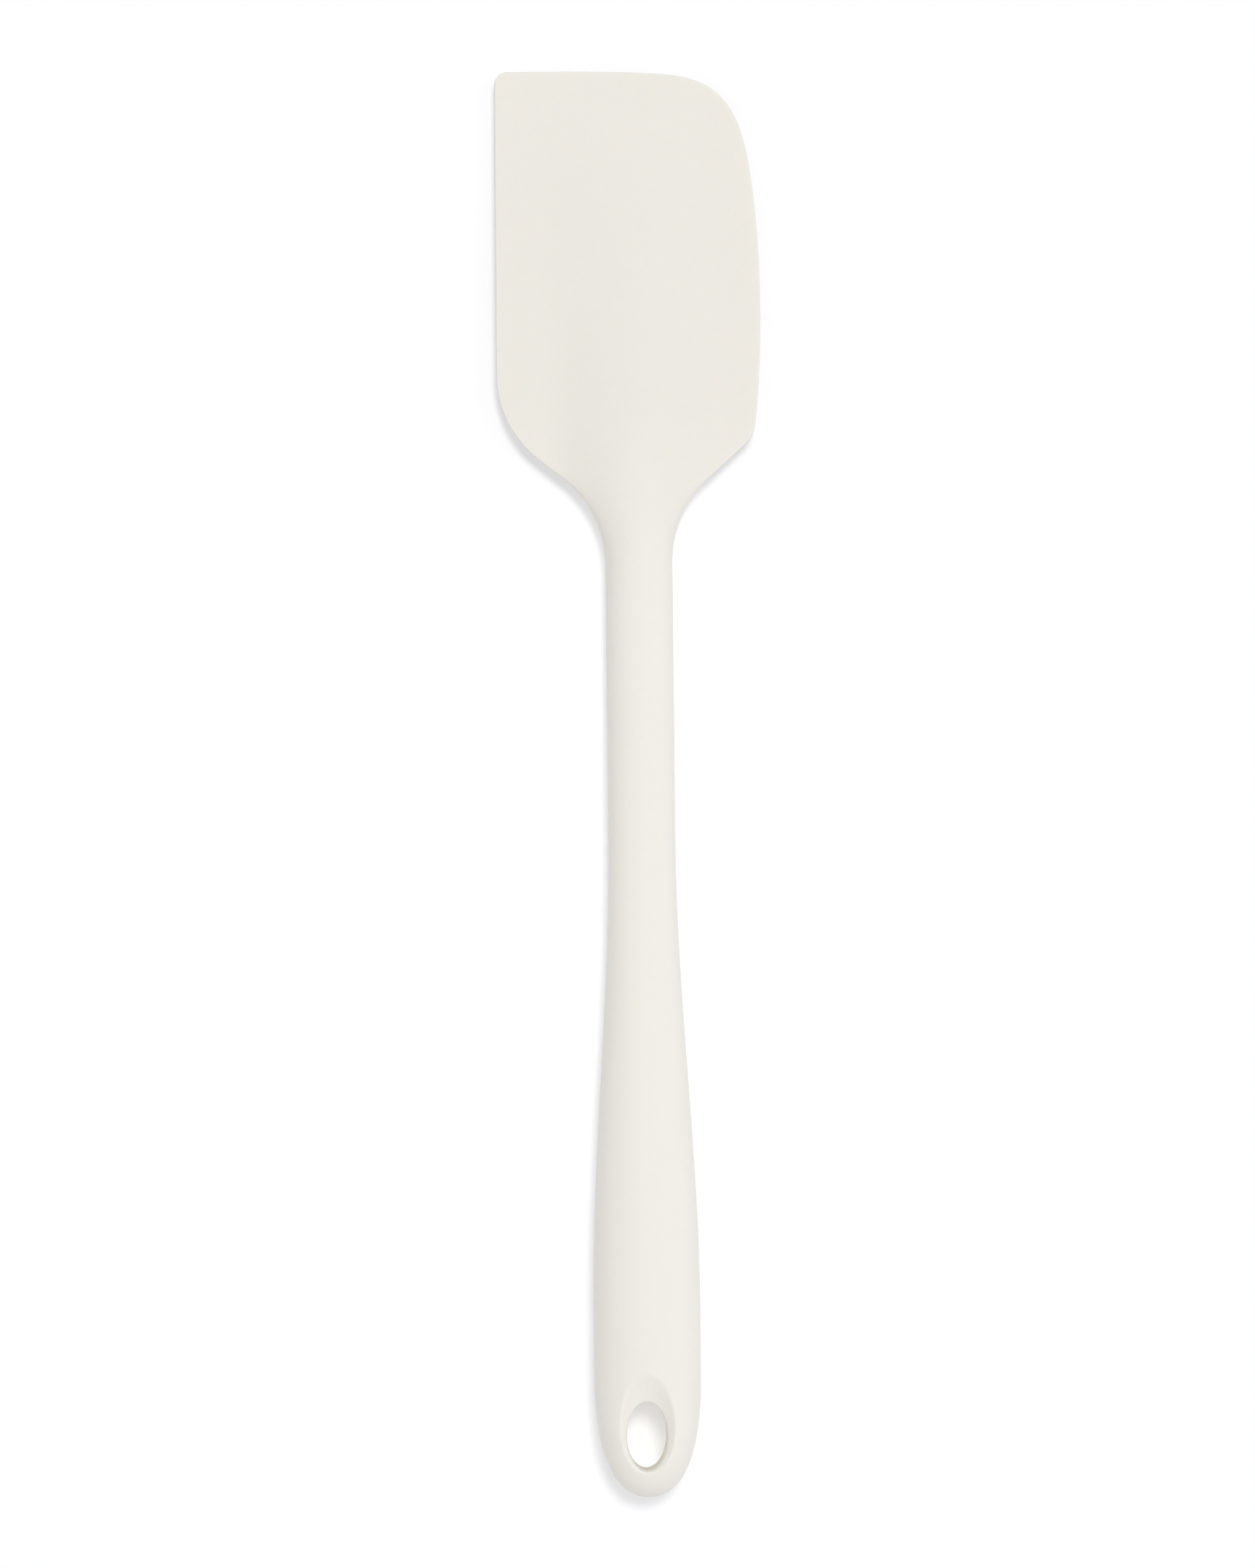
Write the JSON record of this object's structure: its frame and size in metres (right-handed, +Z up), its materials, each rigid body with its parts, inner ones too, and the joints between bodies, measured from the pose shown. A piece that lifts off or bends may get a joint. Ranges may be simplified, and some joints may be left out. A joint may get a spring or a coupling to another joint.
{
  "type": "silicone spatula",
  "caption": "Seamless ivory silicone spatula with a flat one-sided blade, a slim shaft and a rounded handle with an oval hanging hole; scrapes, folds and spreads food.",
  "frame": {"origin": "centre of the box at table height, with the spatula lying on its handle belly and neck", "axes": "+Y from the butt to the blade's tip, +Z up from the table, +X towards the blade's bowed edge"},
  "size_m": [0.052, 0.28, 0.0174],
  "materials": {
    "silicone": "fine matte moulded surface with a slight satin sheen",
    "nylon": "natural glass-filled nylon, as moulded",
    "steel": "drawn stainless rod"
  },
  "bodies": {
    "root": {"silicone_skin": "silicone", "nylon_core": "nylon", "steel_rod": "steel"}
  },
  "joints": []
}
